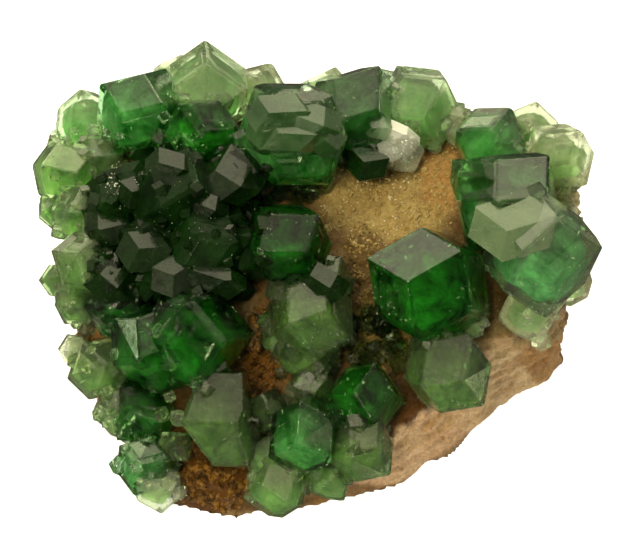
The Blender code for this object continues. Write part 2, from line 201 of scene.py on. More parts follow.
# for each tone: what the glass lets through, how strongly it bends light, how much of it is frost and
# how strong its gloss is; the skin's darkest and lightest tint, its polish and its pits; then the heart:
# its share of the crystal's size, what it lets through, its veils' darkest and lightest colour, and how
# much light passes them
tones = {
    "dark": {"absorb": (0.16, 0.66, 0.08), "density": 900, "ior": 1.25, "frost": 0.45, "coat": 0.0,
             "skin": ((0.002, 0.016, 0.001), (0.014, 0.070, 0.008)), "rough": (0.25, 0.55), "pits": 1.0},
    "facet": {"absorb": (0.20, 0.66, 0.12), "density": 600, "ior": 1.3, "frost": 0.28, "coat": 0.42,
              "skin": ((0.004, 0.026, 0.002), (0.020, 0.085, 0.010)), "rough": (0.15, 0.40), "pits": 1.0},
    "haze": {"absorb": (0.40, 0.80, 0.32), "density": 500, "ior": 1.45, "frost": 0.40, "coat": 0.6,
             "skin": ((0.035, 0.13, 0.03), (0.11, 0.25, 0.085)), "rough": (0.10, 0.30), "pits": 1.0},
    "mist": {"absorb": (0.50, 0.82, 0.40), "density": 500, "ior": 1.5, "frost": 0.45, "coat": 0.65,
             "skin": ((0.12, 0.24, 0.08), (0.24, 0.38, 0.16)), "rough": (0.10, 0.30), "pits": 0.8},
    "dusk": {"absorb": (0.16, 0.80, 0.06), "density": 520, "ior": 1.4, "frost": 0.0, "coat": 0.0,
             "skin": ((0.66, 0.92, 0.58), (0.88, 0.99, 0.82)), "rough": (0.06, 0.22), "pits": 0.6,
             "heart": 0.80, "zone": (0.10, 0.78, 0.04), "zoneDensity": 320,
             "veil": ((0.004, 0.06, 0.004), (0.12, 0.74, 0.09)), "open": 0.66},
    "deep": {"absorb": (0.16, 0.80, 0.06), "density": 520, "ior": 1.7, "frost": 0.0, "coat": 0.0,
             "skin": ((0.70, 0.92, 0.62), (0.90, 0.99, 0.85)), "rough": (0.02, 0.11), "pits": 0.45,
             "heart": 0.78, "zone": (0.10, 0.78, 0.04), "zoneDensity": 340,
             "veil": ((0.003, 0.05, 0.004), (0.10, 0.74, 0.09)), "open": 0.68},
    "rimmed": {"absorb": (0.74, 0.89, 0.62), "density": 200, "ior": 1.4, "frost": 0.03, "coat": 0.6,
               "skin": ((0.78, 0.92, 0.70), (0.96, 1.0, 0.92)), "rough": (0.04, 0.16), "pits": 0.6,
               "heart": 0.70, "zone": (0.14, 0.87, 0.18), "zoneDensity": 260,
               "veil": ((0.012, 0.22, 0.035), (0.28, 0.92, 0.34)), "open": 0.5},
    "mid": {"absorb": (0.40, 0.91, 0.33), "density": 270, "ior": 1.5, "frost": 0.0, "coat": 0.5,
            "skin": ((0.74, 0.95, 0.69), (0.93, 1.0, 0.90)), "rough": (0.03, 0.13), "pits": 0.45,
            "heart": 0.78, "zone": (0.18, 0.89, 0.18), "zoneDensity": 220,
            "veil": ((0.014, 0.22, 0.030), (0.36, 0.94, 0.36)), "open": 0.55},
    "pale": {"absorb": (0.80, 0.93, 0.68), "density": 210, "ior": 1.3, "frost": 0.08, "coat": 0.8,
             "skin": ((0.66, 0.88, 0.54), (0.92, 0.98, 0.82)), "rough": (0.10, 0.30), "pits": 0.5,
             "heart": 0.68, "zone": (0.42, 0.86, 0.34), "zoneDensity": 250,
             "veil": ((0.14, 0.48, 0.12), (0.64, 0.88, 0.48)), "open": 0.62},
    "leaf": {"absorb": (0.68, 0.86, 0.46), "density": 300, "ior": 1.4, "frost": 0.06, "coat": 0.7,
             "skin": ((0.56, 0.78, 0.40), (0.88, 0.96, 0.70)), "rough": (0.08, 0.28), "pits": 0.7,
             "heart": 0.72, "zone": (0.42, 0.78, 0.24), "zoneDensity": 300,
             "veil": ((0.06, 0.24, 0.04), (0.52, 0.80, 0.34)), "open": 0.6},
    "straw": {"absorb": (0.88, 0.94, 0.72), "density": 180, "ior": 1.3, "frost": 0.12, "coat": 0.8,
              "skin": ((0.80, 0.90, 0.60), (0.98, 1.0, 0.86)), "rough": (0.10, 0.30), "pits": 0.7,
              "heart": 0.60, "zone": (0.52, 0.88, 0.36), "zoneDensity": 190,
              "veil": ((0.26, 0.56, 0.16), (0.84, 0.96, 0.62)), "open": 0.66},
    "cloudy": {"absorb": (0.50, 0.78, 0.30), "density": 400, "ior": 1.5, "frost": 0.04, "coat": 0.4,
               "skin": ((0.46, 0.62, 0.30), (0.80, 0.90, 0.62)), "rough": (0.12, 0.34), "pits": 0.8,
               "heart": 0.84, "zone": (0.34, 0.68, 0.20), "zoneDensity": 320,
               "veil": ((0.03, 0.12, 0.02), (0.36, 0.60, 0.20)), "open": 0.5},
    "clear": {"absorb": (0.90, 0.95, 0.82), "density": 60, "ior": 1.5, "frost": 0.28, "coat": 0.8,
              "skin": ((0.90, 0.95, 0.82), (1.0, 1.0, 0.97)), "rough": (0.02, 0.10), "pits": 0.4},
    # a frosted white plate, a painted highlight where a face shines bright
    "white": {"absorb": (0.95, 0.97, 0.92), "density": 60, "ior": 1.5, "frost": 0.75, "coat": 1.0,
              "skin": ((0.92, 0.94, 0.84), (1.0, 1.0, 0.97)), "rough": (0.08, 0.25), "pits": 0.6},
}
gloss = {"ior": 1.735, "rough": 0.08}  # the coat bends light as real garnet does
# mottled patterns: how many to a metre, how much detail, how rough it is and how far it is twisted
patterns = {"cloud": (620, 6, 0.65), "polish": (1900, 5), "pits": (7000, 4, 0.7),
            "veil": (700, 6, 0.62, 0.6), "speck": (4600, 3), "lump": (4200, 5, 0.7),
            "patch": (2600, 4), "tooth": (12000, 3), "stain": (800, 8, 0.7), "sand": (9000, 5)}


def clamped(value):
    return max(0.0, min(1.0, value))


def fall(distance, slope):
    return slope * max(0.0, distance)


def rockHeight(x, y):
    start, end = rockTop["frontChange"]
    right = clamped((x - start) / (end - start))
    leftFall, rightFall = rockTop["frontFall"]
    height = rockTop["level"] - fall(rockTop["frontStart"] - y, leftFall + (rightFall - leftFall) * right)
    height -= fall(y - rockTop["backStart"], rockTop["backFall"])
    return height - fall(rockTop["leftStart"] - x, rockTop["leftFall"])


def viewAxes():
    s, c = math.sin(lookDown), math.cos(lookDown)
    return Matrix(((1, 0, 0), (0, s, -c), (0, c, s)))


def asSeen(place):
    # across and up, in mm, of a place in mm
    return place.x, place.y * math.sin(lookDown) + place.z * math.cos(lookDown)


def seat(across, up, overRock):
    height = rockTop["level"]
    for step in range(20):
        y = (up - height * math.cos(lookDown)) / math.sin(lookDown)
        height = rockHeight(across, y) + overRock
    return Vector((across, y, height))


def deselect():
    if bpy.context.mode != "OBJECT":
        bpy.ops.object.mode_set(mode="OBJECT")
    bpy.ops.object.select_all(action="DESELECT")


def activate(piece):
    deselect()
    piece.select_set(True)
    bpy.context.view_layer.objects.active = piece


def joinPieces(pieces, name):
    deselect()
    for piece in pieces:
        piece.select_set(True)
    bpy.context.view_layer.objects.active = pieces[0]
    if len(pieces) > 1:
        bpy.ops.object.join()
    joined = bpy.context.view_layer.objects.active
    joined.name = name
    joined.data.name = name
    deselect()
    return joined


def settle(piece, slot, *nodes):
    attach(piece, "root")
    if nodes:
        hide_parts(*nodes)
    print(piece.name, len(piece.data.polygons), "faces")


# materials

def feed(tree, node, inputs):
    # each socket takes another socket's value or a plain one
    for socket, value in inputs:
        if hasattr(value, "links"):
            tree.links.new(value, node.inputs[socket])
        else:
            node.inputs[socket].default_value = value
    return node


def addNode(tree, kind, inputs=(), **settings):
    node = tree.nodes.new(kind)
    for name, value in settings.items():
        setattr(node, name, value)
    return feed(tree, node, inputs)


def mixColours(tree, factor, a, b, blend="MIX"):
    inputs = [(0, factor), (6, a), (7, b)]
    return addNode(tree, "ShaderNodeMix", inputs, data_type="RGBA", blend_type=blend).outputs[2]


def ranged(tree, value, low, high, start=0.0, end=1.0, kind="LINEAR"):
    inputs = [("Value", value), ("From Min", start), ("From Max", end), ("To Min", low), ("To Max", high)]
    return addNode(tree, "ShaderNodeMapRange", inputs, interpolation_type=kind).outputs["Result"]


def calculate(tree, operation, *values):
    return addNode(tree, "ShaderNodeMath", list(enumerate(values)), operation=operation).outputs[0]


def objectPlace(tree):
    return addNode(tree, "ShaderNodeTexCoord").outputs["Object"]


def mottle(tree, where, pattern):
    inputs = [("Vector", where), *zip(("Scale", "Detail", "Roughness", "Distortion"), patterns[pattern])]
    return addNode(tree, "ShaderNodeTexNoise", inputs).outputs["Fac"]


def cells(tree, where, scale):
    return addNode(tree, "ShaderNodeTexVoronoi", [("Vector", where), ("Scale", scale)], feature="F1").outputs


def bumpy(tree, height, depth, strength):
    # the depth is in mm
    inputs = [("Height", height), ("Distance", depth * mm), ("Strength", strength)]
    return addNode(tree, "ShaderNodeBump", inputs).outputs["Normal"]


def newSurface(name, values=()):
    # a group that makes a surface's colour, roughness and normal from two colours and the named values
    group = bpy.data.node_groups.new(name, "ShaderNodeTree")
    sockets = [(label, "INPUT", "Color") for label in ("Dark", "Light")]
    sockets += [(label, "INPUT", "Float") for label in values]
    sockets += [("Color", "OUTPUT", "Color"), ("Roughness", "OUTPUT", "Float"),
                ("Normal", "OUTPUT", "Vector")]
    for label, way, kind in sockets:
        group.interface.new_socket(label, in_out=way, socket_type="NodeSocket" + kind)
    return group, group.nodes.new("NodeGroupInput").outputs, group.nodes.new("NodeGroupOutput")


def placeSurface(tree, group, dark, light, values=()):
    inputs = [("Dark", (*dark, 1)), ("Light", (*light, 1)), *values]
    return addNode(tree, "ShaderNodeGroup", inputs, node_tree=group).outputs


def newMaterial(name):
    made = bpy.data.materials.new(name)
    made.use_nodes = True
    return made, made.node_tree, made.node_tree.nodes["Principled BSDF"]


def fillWith(tree, colour, density):
    absorb = addNode(tree, "ShaderNodeVolumeAbsorption", [("Color", (*colour, 1)), ("Density", density)])
    tree.links.new(absorb.outputs["Volume"], tree.nodes["Material Output"].inputs["Volume"])


def crystalSkin():
    # mottled colour, uneven polish, growth lines and fine pits of a crystal's faces
    group, given, out = newSurface("crystalSkin", ("Smooth", "Dull", "Pits"))
    where = objectPlace(group)
    cloud = ranged(group, mottle(group, where, "cloud"), 0, 1, 0.35, 0.65)
    polish = mottle(group, where, "polish")
    wavy = [("Vector", where), ("Scale", 480), ("Distortion", 5), ("Detail", 3), ("Detail Scale", 1.5)]
    lines = addNode(group, "ShaderNodeTexWave", wavy, bands_direction="DIAGONAL").outputs["Fac"]
    pits = mottle(group, where, "pits")
    chipped = ranged(group, polish, 0, 2.4, 0.55, 0.72)
    height = calculate(group, "MULTIPLY_ADD", chipped, cells(group, where, 6500)["Distance"], pits)
    height = calculate(group, "MULTIPLY_ADD", lines, 0.35, height)
    feed(group, out, [("Color", mixColours(group, cloud, given["Dark"], given["Light"])),
                      ("Roughness", ranged(group, polish, given["Smooth"], given["Dull"], 0.35, 0.7)),
                      ("Normal", bumpy(group, height, 0.02, given["Pits"]))])
    return group


def crystalVeils():
    # clouds and fine specks inside a crystal
    group, given, out = newSurface("crystalVeils")
    where = objectPlace(group)
    broad = mottle(group, where, "veil")
    colour = mixColours(group, ranged(group, broad, 0, 1, 0.36, 0.66), given["Dark"], given["Light"])
    speck = ranged(group, mottle(group, where, "speck"), 0.85, 1.15, 0.3, 0.7)
    feed(group, out, [("Color", mixColours(group, 1.0, colour, speck, "MULTIPLY")),
                      ("Roughness", ranged(group, broad, 0.4, 0.8)),
                      ("Normal", bumpy(group, mottle(group, where, "lump"), 0.04, 0.5))])
    return group


def grainSkin():
    # the patchy colour and fine tooth of loose grains and flakes
    group, given, out = newSurface("grainSkin")
    where = objectPlace(group)
    patch = mottle(group, where, "patch")
    cloud = ranged(group, patch, 0, 1, 0.38, 0.62)
    feed(group, out, [("Color", mixColours(group, cloud, given["Dark"], given["Light"])),
                      ("Roughness", ranged(group, patch, 0.7, 0.25, 0.35, 0.65)),
                      ("Normal", bumpy(group, mottle(group, where, "tooth"), 0.02, 0.5))])
    return group


def glassMaterial(name, tone, group):
    made, tree, shader = newMaterial("garnet" + name.capitalize())
    smooth, dull = tone["rough"]
    worn = [("Smooth", smooth), ("Dull", dull), ("Pits", tone["pits"])]
    skin = placeSurface(tree, group, *tone["skin"], worn)
    feed(tree, shader, [("Base Color", skin["Color"]), ("Roughness", skin["Roughness"]),
                        ("Normal", skin["Normal"]), ("IOR", tone["ior"]),
                        ("Transmission Weight", 1.0 - tone["frost"]), ("Coat Weight", tone["coat"]),
                        ("Coat Roughness", gloss["rough"]), ("Coat IOR", gloss["ior"])])
    fillWith(tree, tone["absorb"], tone["density"])
    return made


def heartMaterial(name, tone, group):
    made, tree, shader = newMaterial("heart" + name.capitalize())
    veils = placeSurface(tree, group, *tone["veil"])
    # the veils' colour times the heart's own brightness and its painted light, lighter at the lower front
    glow = addNode(tree, "ShaderNodeVertexColor", layer_name="glow").outputs["Color"]
    feed(tree, shader, [("Base Color", mixColours(tree, 1.0, veils["Color"], glow, "MULTIPLY")),
                        ("Roughness", veils["Roughness"]), ("Normal", veils["Normal"]),
                        ("Specular IOR Level", 0.1), ("IOR", 1.05), ("Transmission Weight", tone["open"])])
    fillWith(tree, tone["zone"], tone["zoneDensity"])
    return made


def grainMaterial(name, light, dark, group):
    made, tree, shader = newMaterial("grain" + name.capitalize())
    grain = placeSurface(tree, group, dark, light)
    feed(tree, shader, [("Base Color", grain["Color"]), ("Roughness", grain["Roughness"]),
                        ("Normal", grain["Normal"]), ("Transmission Weight", 0.1)])
    return made


# crystals

def garnetPlanes(size, uneven):
    # twelve dodecahedron faces, then the 24 that trim its edges
    planes = []
    for first, second in ((0, 1), (0, 2), (1, 2)):
        for a, b in ((-1, -1), (-1, 1), (1, -1), (1, 1)):
            direction = Vector((0, 0, 0))
            direction[first], direction[second] = a, b
            stands = uneven.uniform(-crystalForm["uneven"], crystalForm["uneven"])
            planes.append((direction.normalized(), size * (1 + stands)))
    trim = size * uneven.uniform(*crystalForm["trim"])
    for longest in range(3):
        for corner in range(8):
            direction = Vector([1 if corner >> axis & 1 else -1 for axis in range(3)])
            direction[longest] *= 2
            planes.append((direction.normalized(), trim))
    return planes


def crystalPlan(row, seed):
    # where a crystal stands, how it is turned, and the planes that bound it, in mm
    across, up, overRock, size, turn, tone, *cuts = row
    tilted = viewAxes() @ Euler([math.radians(a) for a in turn], "XYZ").to_matrix()
    planes = [(tilted @ d, distance) for d, distance in garnetPlanes(size, random.Random(seed))]
    for seen, distance in cuts[0] if cuts else ():
        planes.append(((viewAxes() @ Vector(seen)).normalized(), distance))
    # each heart is lighter or darker at random; its painted light is added when the heart is grown
    glow = random.Random(seed + 50).uniform(*hearts["brightness"])
    return {"centre": seat(across, up, overRock * size), "size": size, "planes": planes, "tone": tone,
            "glow": glow}


def cutCrystal(plan, share=1.0):
    bpy.ops.mesh.primitive_cube_add(size=crystalForm["block"] * plan["size"], location=(0, 0, 0))
    crystal = bpy.context.object
    bpy.ops.object.mode_set(mode="EDIT")
    for direction, distance in plan["planes"]:
        bpy.ops.mesh.select_all(action="SELECT")
        bpy.ops.mesh.bisect(plane_co=direction * distance * share, plane_no=direction, use_fill=True,
                            clear_outer=True, threshold=1e-5)
    bpy.ops.mesh.select_all(action="SELECT")
    bpy.ops.mesh.remove_doubles(threshold=crystalForm["merge"] * min(1.0, plan["size"]))
    bpy.ops.mesh.select_all(action="SELECT")
    bpy.ops.mesh.dissolve_degenerate(threshold=crystalForm["sliver"])
    bpy.ops.mesh.select_all(action="SELECT")
    bpy.ops.mesh.normals_make_consistent(inside=False)
    bpy.ops.object.mode_set(mode="OBJECT")
    crystal.data.transform(Matrix.Scale(mm, 4) @ Matrix.Translation(plan["centre"]))
    return crystal


def unitCrystal(planes):
    # a crystal one unit in size, to be copied or squashed
    model = cutCrystal({"centre": Vector((0, 0, 0)), "size": 1.0, "planes": planes})
    model.data.transform(Matrix.Scale(1 / mm, 4))
    return model


def copyTo(model, place):
    # a copy with its own mesh, at its place in mm
    piece = model.copy()
    piece.data = model.data.copy()
    bpy.context.scene.collection.objects.link(piece)
    piece.data.transform(Matrix.Scale(mm, 4) @ place)
    return piece


def anyTurn(draw):
    return Euler([draw.uniform(0, 2 * math.pi) for axis in range(3)], "XYZ").to_matrix()


def applyModifier(piece, kind, **settings):
    activate(piece)
    bpy.ops.object.modifier_add(type=kind)
    step = piece.modifiers[-1]
    for name, value in settings.items():
        setattr(step, name, value)
    bpy.ops.object.modifier_apply(modifier=step.name)


def growStep(plan, face, share, rise, draw):
    # a thin plate of later growth on one face, off centre
    towards, stands = plan["planes"][face]
    reach = growth["askew"] * plan["size"]
    slide = Vector([draw.uniform(-reach, reach) for axis in range(3)])
    planes = [(d, min(distance * growth["widest"],
                      distance * share * draw.uniform(*growth["uneven"]) + d.dot(slide)))
              for d, distance in plan["planes"]]
    planes[face] = (towards, stands + rise)
    return cutCrystal({"centre": plan["centre"], "size": plan["size"], "planes": planes})


def growSteps(plan, choices, rise, draw):
    near = viewAxes() @ Vector(growth["seenFrom"])
    grown = []
    for face in [i for i in range(12) if plan["planes"][i][0].dot(near) > growth["facing"]]:
        for step in range(draw.choice(choices) if plan["size"] > growth["from"] else 0):
            share = draw.uniform(*growth["share"]) - growth["less"] * step
            grown.append(growStep(plan, face, share, rise * (step + 1), draw))
    return grown


def unite(pieces):
    # one solid from crystals grown into each other, with a fine worn edge
    base = pieces[0]
    for other in pieces[1:]:
        applyModifier(base, "BOOLEAN", operation="UNION", object=other, solver="EXACT")
        bpy.data.objects.remove(other)
    applyModifier(base, "BEVEL", width=crystalForm["edge"] * mm, limit_method="ANGLE",
                  angle_limit=math.radians(crystalForm["angle"]), segments=1, use_clamp_overlap=False)
    return base


def growHeart(plan, share, lumps):
    # the cloudy heart: the crystal's own shape drawn in, its faces broken up and lumpy
    heart = cutCrystal(plan, share)
    activate(heart)
    bpy.ops.object.mode_set(mode="EDIT")
    bpy.ops.mesh.select_all(action="SELECT")
    bpy.ops.mesh.quads_convert_to_tris()
    bpy.ops.mesh.subdivide(number_cuts=hearts["cuts"])
    bpy.ops.object.mode_set(mode="OBJECT")
    applyModifier(heart, "DISPLACE", texture=lumps, texture_coords="GLOBAL", mid_level=0.5,
                  strength=hearts["lumpy"] * min(1.0, plan["size"]) * mm)
    bpy.ops.object.shade_smooth()
    # painted light: the heart is lighter towards the lower front and darker towards the top and back, as if
    # light gathered there
    low = viewAxes() @ Vector(hearts["thickest"])
    layer = heart.data.color_attributes.new("glow", "FLOAT_COLOR", "POINT")
    for vert in heart.data.vertices:
        side = (vert.co / mm - plan["centre"]).dot(low) / plan["size"]
        glow = plan["glow"] * max(hearts["least"], 1 + hearts["contrast"] * side)
        layer.data[vert.index].color = (glow, glow, glow, 1)
    return heart


def planCrystals():
    rows = [(name, row) for name, cluster in clusters.items() for row in cluster["crystals"]]
    return [{**crystalPlan(row, number), "cluster": name} for number, (name, row) in enumerate(rows)]


def firstCrystal(plans, across, up):
    # the crystal seen at a place, and the point of its face there, in mm
    eye = viewAxes() @ Vector((across, up, high))
    ahead = viewAxes() @ Vector((0, 0, -1))
    nearest, found = 2 * high, None
    for plan in plans:
        enter, leave, face = 0.0, 2 * high, None
        for towards, stands in plan["planes"]:
            gap = stands - towards.dot(eye - plan["centre"])
            slope = towards.dot(ahead)
            if slope < -1e-6 and gap / slope > enter:
                enter, face = gap / slope, towards
            elif slope > 1e-6:
                leave = min(leave, gap / slope)
        if face and enter < leave and enter < nearest:
            nearest, found = enter, (plan, eye + ahead * enter, face)
    return found


def depthIn(plan, place):
    return min(stands - towards.dot(place - plan["centre"]) for towards, stands in plan["planes"])


def depthInside(plans, place):
    # how far a place in mm is inside the nearest crystal: negative outside, and -9 far from all of them
    close = [plan for plan in plans if (place - plan["centre"]).length < plan["size"] * 1.5 + 1.5]
    return max([depthIn(plan, place) for plan in close], default=-9.0)


def growSmall(plans):
    # small crystals where large ones meet, at their feet, and all over the dark crust
    draw = random.Random(12)
    deselect()
    models = [unitCrystal(garnetPlanes(1.0, draw)[:12]) for number in range(small["models"])]
    grown, taken = {}, []
    for patch in small["patches"]:
        (least, most), near = patch["size"], patch["near"]
        for attempt in range(patch["tries"]):
            across = patch["at"][0] + draw.uniform(-1, 1) * patch["reach"][0]
            up = patch["at"][1] + draw.uniform(-1, 1) * patch["reach"][1]
            lot, share, turn = draw.random(), draw.random(), anyTurn(draw)
            hit = firstCrystal(plans, across, up)
            if not hit:
                continue
            plan, place, face = hit
            foot = place.z - rockHeight(place.x, place.y)
            if foot > near and not any(depthIn(other, place) > -near for other in plans if other is not plan):
                continue
            size = least + (most - least) * share * share
            key = (plan["cluster"], patch.get("tone", plan["tone"]))
            centre = place - face * size * small["sunk"]
            if any((centre - spot).length < small["apart"] * (size + reach) and kind == key
                   for spot, reach, kind in taken):
                continue
            taken.append((centre, size, key))
            crystal = copyTo(models[int(lot * len(models))],
                             Matrix.Translation(centre) @ turn.to_4x4() @ Matrix.Scale(size, 4))
            grown.setdefault(key, []).append(crystal)
    for model in models:
        bpy.data.objects.remove(model)
    print("small crystals", len(taken))
    return grown


def growFacets(plans, grown):
    # each facet's crystal is squashed to the length and width of the face that catches the light
    draw = random.Random(21)
    upright = Vector((0, 0, 1))
    mirror = (viewAxes() @ upright + Vector(studio["boxAt"])).normalized()
    for across, up, long, wide, rise, spin, tone, *seen in facets:
        towards = (viewAxes() @ Vector(seen[0])).normalized() if seen else mirror
        plan, place, face = firstCrystal(plans, across, up)
        planes = garnetPlanes(1.0, draw)[:12]
        level = planes[0][0].rotation_difference(upright).to_matrix()
        crystal = unitCrystal([(level @ d, distance) for d, distance in planes])
        turn = upright.rotation_difference(towards).to_matrix() @ Matrix.Rotation(math.radians(spin), 3, "Z")
        place = Matrix.Translation(place + towards * (rise - facetDepth)) @ turn.to_4x4()
        crystal.data.transform(Matrix.Scale(mm, 4) @ place @ Matrix.Diagonal((long, wide, facetDepth, 1)))
        grown.setdefault((plan["cluster"], tone), []).append(crystal)


def buildCrystals(plans, materials, cloudy):
    lumps = bpy.data.textures.new("lumps", "CLOUDS")
    lumps.noise_scale = hearts["lump"] * mm
    lumps.noise_depth = 2
    grown = growSmall(plans)
    growFacets(plans, grown)
    for name, cluster in clusters.items():
        slot, byTone, cores = cluster.get("slot", "green_garnet"), {}, []
        for number, plan in enumerate(plans):
            if plan["cluster"] != name:
                continue
            own = cluster if plan["size"] > cluster.get("stepsFrom", 0) else {}
            choices, rise = own.get("steps", growth["steps"]), own.get("rise", growth["rise"])
            tone = plan["tone"]
            parts = [cutCrystal(plan)] + growSteps(plan, choices, rise, random.Random(number + 900))
            byTone.setdefault(tone, []).extend(parts)
            for share in hearts["zones"] if tone in cloudy else ():
                core = growHeart(plan, tones[tone]["heart"] * share, lumps)
                core.data.materials.append(cloudy[tone])
                cores.append(core)
        pieces = []
        for tone in tones:
            large = [unite(byTone[tone])] if tone in byTone else []
            if large or (name, tone) in grown:
                pieces.append(joinPieces(large + grown.get((name, tone), []), name))
                pieces[-1].data.materials.append(materials[tone])
        settle(joinPieces(pieces, name), slot, cluster["node"])
        if cores:
            settle(joinPieces(cores, name + "Hearts"), slot)


# rock

rock = {
    "voxel": 0.15,  # the rock is rebuilt this fine, in mm, then smoothed this strongly and often
    "smooth": (0.5, 4),
    "base": (0.150, 0.075, 0.022),
    "mottle": ((0.27, 0.165, 0.065), (0.10, 0.050, 0.016)),
    "bulge": 0.75,  # how far the unseen sides swell and sink, in mm
    "ledge": 0.12,  # height of the ledges on fresh faces, twice that on the unseen sides
    "crumb": 0.11,
    "wander": 0.35,  # how far the edges of the regions stray, in mm
    "contact": (0.80, 0.80, 0.62),
    "stain": (0.62, 0.40, 0.22, 1),
    # the painted shade in the crevice round each crystal's foot
    "crevice": (0.035, 0.022, 0.005),
    # each region as seen: across and up, its reach, how far it leans in degrees, its colour and its grain
    "regions": [
        ((3.6, 3.3), (3.4, 2.0), 0, (0.39, 0.275, 0.10), "sugar"),
        ((6.3, 5.6), (1.3, 2.6), 0, (0.40, 0.22, 0.07), "sugar"),
        ((2.4, 0.0), (1.1, 2.0), 0, (0.13, 0.075, 0.022), "sugar"),
        ((3.0, -3.4), (1.5, 1.7), 0, (0.20, 0.15, 0.035), "sugar"),
        ((9.0, -5.2), (4.6, 2.3), 32, (0.51, 0.35, 0.18), "slab"),
        ((4.6, -8.7), (3.6, 1.6), 30, (0.62, 0.40, 0.22), "slab"),
        ((1.6, -11.4), (2.6, 0.7), 8, (0.30, 0.16, 0.05), "slab"),
        ((4.0, -7.1), (2.0, 0.8), 35, (0.13, 0.05, 0.012), "sugar"),
        ((11.6, -4.0), (1.5, 1.6), 0, (0.38, 0.21, 0.075), "slab"),
        ((-5.6, -9.8), (2.3, 2.6), 0, (0.12, 0.048, 0.008), "sugar"),
        ((-11.2, -2.8), (1.6, 1.1), 0, (0.22, 0.10, 0.026), "sugar"),
        ((-3.1, -3.1), (0.7, 1.7), 0, (0.30, 0.20, 0.11), "slab"),
        ((-2.6, -5.2), (0.8, 1.3), 0, (0.20, 0.085, 0.018), "sugar"),
        ((-4.0, 3.1), (1.2, 0.7), 0, (0.33, 0.17, 0.04), "sugar"),
        ((13.0, 2.2), (1.3, 2.2), 0, (0.55, 0.48, 0.30), "sugar"),
        ((10.5, -3.0), (2.0, 0.7), 0, (0.30, 0.21, 0.09), "sugar"),
    ],
}


def inRegion(at, reach, lean, across, up):
    x, y, lean = across - at[0], up - at[1], math.radians(lean)
    along = (x * math.cos(lean) + y * math.sin(lean)) / reach[0]
    aside = (y * math.cos(lean) - x * math.sin(lean)) / reach[1]
    return clamped((1.15 - math.hypot(along, aside)) / 0.3)


def rockMaterial():
    made, tree, shader = newMaterial("matrixStone")
    where = objectPlace(tree)
    painted = addNode(tree, "ShaderNodeVertexColor", layer_name="tint").outputs["Color"]
    sugar = cells(tree, where, 7600)
    shade = addNode(tree, "ShaderNodeSeparateColor", [("Color", sugar["Color"])]).outputs
    toned = mixColours(tree, 1.0, painted, ranged(tree, shade["Red"], 0.84, 1.2), "MULTIPLY")
    stain = ranged(tree, mottle(tree, where, "stain"), 0, 0.6, 0.45, 0.7)
    rusty = mixColours(tree, 1.0, toned, rock["stain"], "MULTIPLY")
    height = calculate(tree, "MULTIPLY_ADD", sugar["Distance"], -1.0, mottle(tree, where, "sand"))
    feed(tree, shader, [("Base Color", mixColours(tree, stain, toned, rusty)),
                        ("Roughness", ranged(tree, shade["Green"], 0.45, 0.95)),
                        ("Normal", bumpy(tree, height, 0.04, 0.7))])
    return made


def roughenRock(piece, plans):
    # broken grain, ledges on the fresh faces, and the painted tint of each region
    layer = piece.data.color_attributes.new("tint", "FLOAT_COLOR", "POINT")
    near = viewAxes() @ Vector((0, 0, 1))
    tan, brown = (Vector(colour) for colour in rock["mottle"])
    moves = []
    for vert in piece.data.vertices:
        place = vert.co / mm
        across, up = asSeen(place)
        steep = clamped(1.2 - 2 * vert.normal.z)
        facing = clamped((vert.normal.dot(near) - 0.05) / 0.3)
        unseen = steep * (1 - facing) * clamped((5.5 - place.z) / 2)
        sugar, slab = 0.5 + 0.5 * steep, 0.15 + 0.6 * steep
        patchy = noise.noise(place * 0.45) + 0.8 * noise.fractal(place * 1.7, 0.6, 2.1, 4)
        colour = Vector(rock["base"]).lerp(tan if patchy > 0 else brown, min(1.0, 1.3 * abs(patchy)))
        across += rock["wander"] * noise.noise(place * 1.3)
        up += rock["wander"] * noise.noise(place * 1.3 + Vector((7, 3, 5)))
        for at, reach, lean, tint, grain in rock["regions"]:
            part = inRegion(at, reach, lean, across, up) * facing
            if part > 0:
                colour = colour.lerp(Vector(tint), part)
                sugar += (1.0 if grain == "sugar" else 0.6 - sugar) * part
                slab += (0.0 if grain == "sugar" else 0.85) * part
        depth = depthInside(plans, place)
        # painted shade: the rock darkens in a band round the foot of each crystal; under a crystal it turns
        # pale
        if depth > -0.5 and place.z > 1.0:
            colour = colour.lerp(Vector(rock["crevice"]), clamped((depth + 0.5) / 0.45) * 0.7)
            colour = colour.lerp(Vector(rock["contact"]), clamped(depth / 0.15))
        layer.data[vert.index].color = (*colour, 1)
        step = noise.noise(Vector((place.x * 0.5 + place.y * 0.2, place.y * 1.6, place.z * 2.6)))
        stepped = math.floor(step * 5) / 5 + 0.3 * noise.noise(place * 3.1)
        ledge = rock["ledge"] * (1 + unseen) * slab * stepped
        crumb = rock["crumb"] * min(1.2, sugar) * noise.fractal(place * 2.9, 0.5, 2.2, 4)
        swell = noise.noise(place * 0.38) + 0.5 * abs(noise.noise(place * 0.9 + Vector((4, 1, 8)))) - 0.25
        worn = min(1.0, 0.3 + place.z / 1.8)  # the edge it rests on is worn
        moves.append(vert.normal * ((ledge + crumb) * worn + rock["bulge"] * unseen * swell) * mm)
    for vert, move in zip(piece.data.vertices, moves):
        vert.co += move
        vert.co.z = max(vert.co.z, 0.0)


def buildRock(plans):
    activate(frame["nodes"]["matrix_rock"])
    bpy.ops.object.duplicate()
    piece = bpy.context.object
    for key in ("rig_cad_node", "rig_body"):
        if key in piece:
            del piece[key]
    piece.name = "matrixRock"
    piece.parent = None
    piece.data.materials.clear()
    piece.data.materials.append(rockMaterial())
    bpy.ops.object.mode_set(mode="EDIT")
    bpy.ops.mesh.select_all(action="SELECT")
    bpy.ops.mesh.remove_doubles(threshold=1e-6)
    bpy.ops.object.mode_set(mode="OBJECT")
    applyModifier(piece, "REMESH", mode="VOXEL", voxel_size=rock["voxel"] * mm)
    strength, rounds = rock["smooth"]
    applyModifier(piece, "SMOOTH", factor=strength, iterations=rounds)
    roughenRock(piece, plans)
    bpy.ops.object.shade_smooth()
    settle(piece, "matrix_stone", "matrix_rock")
    return piece
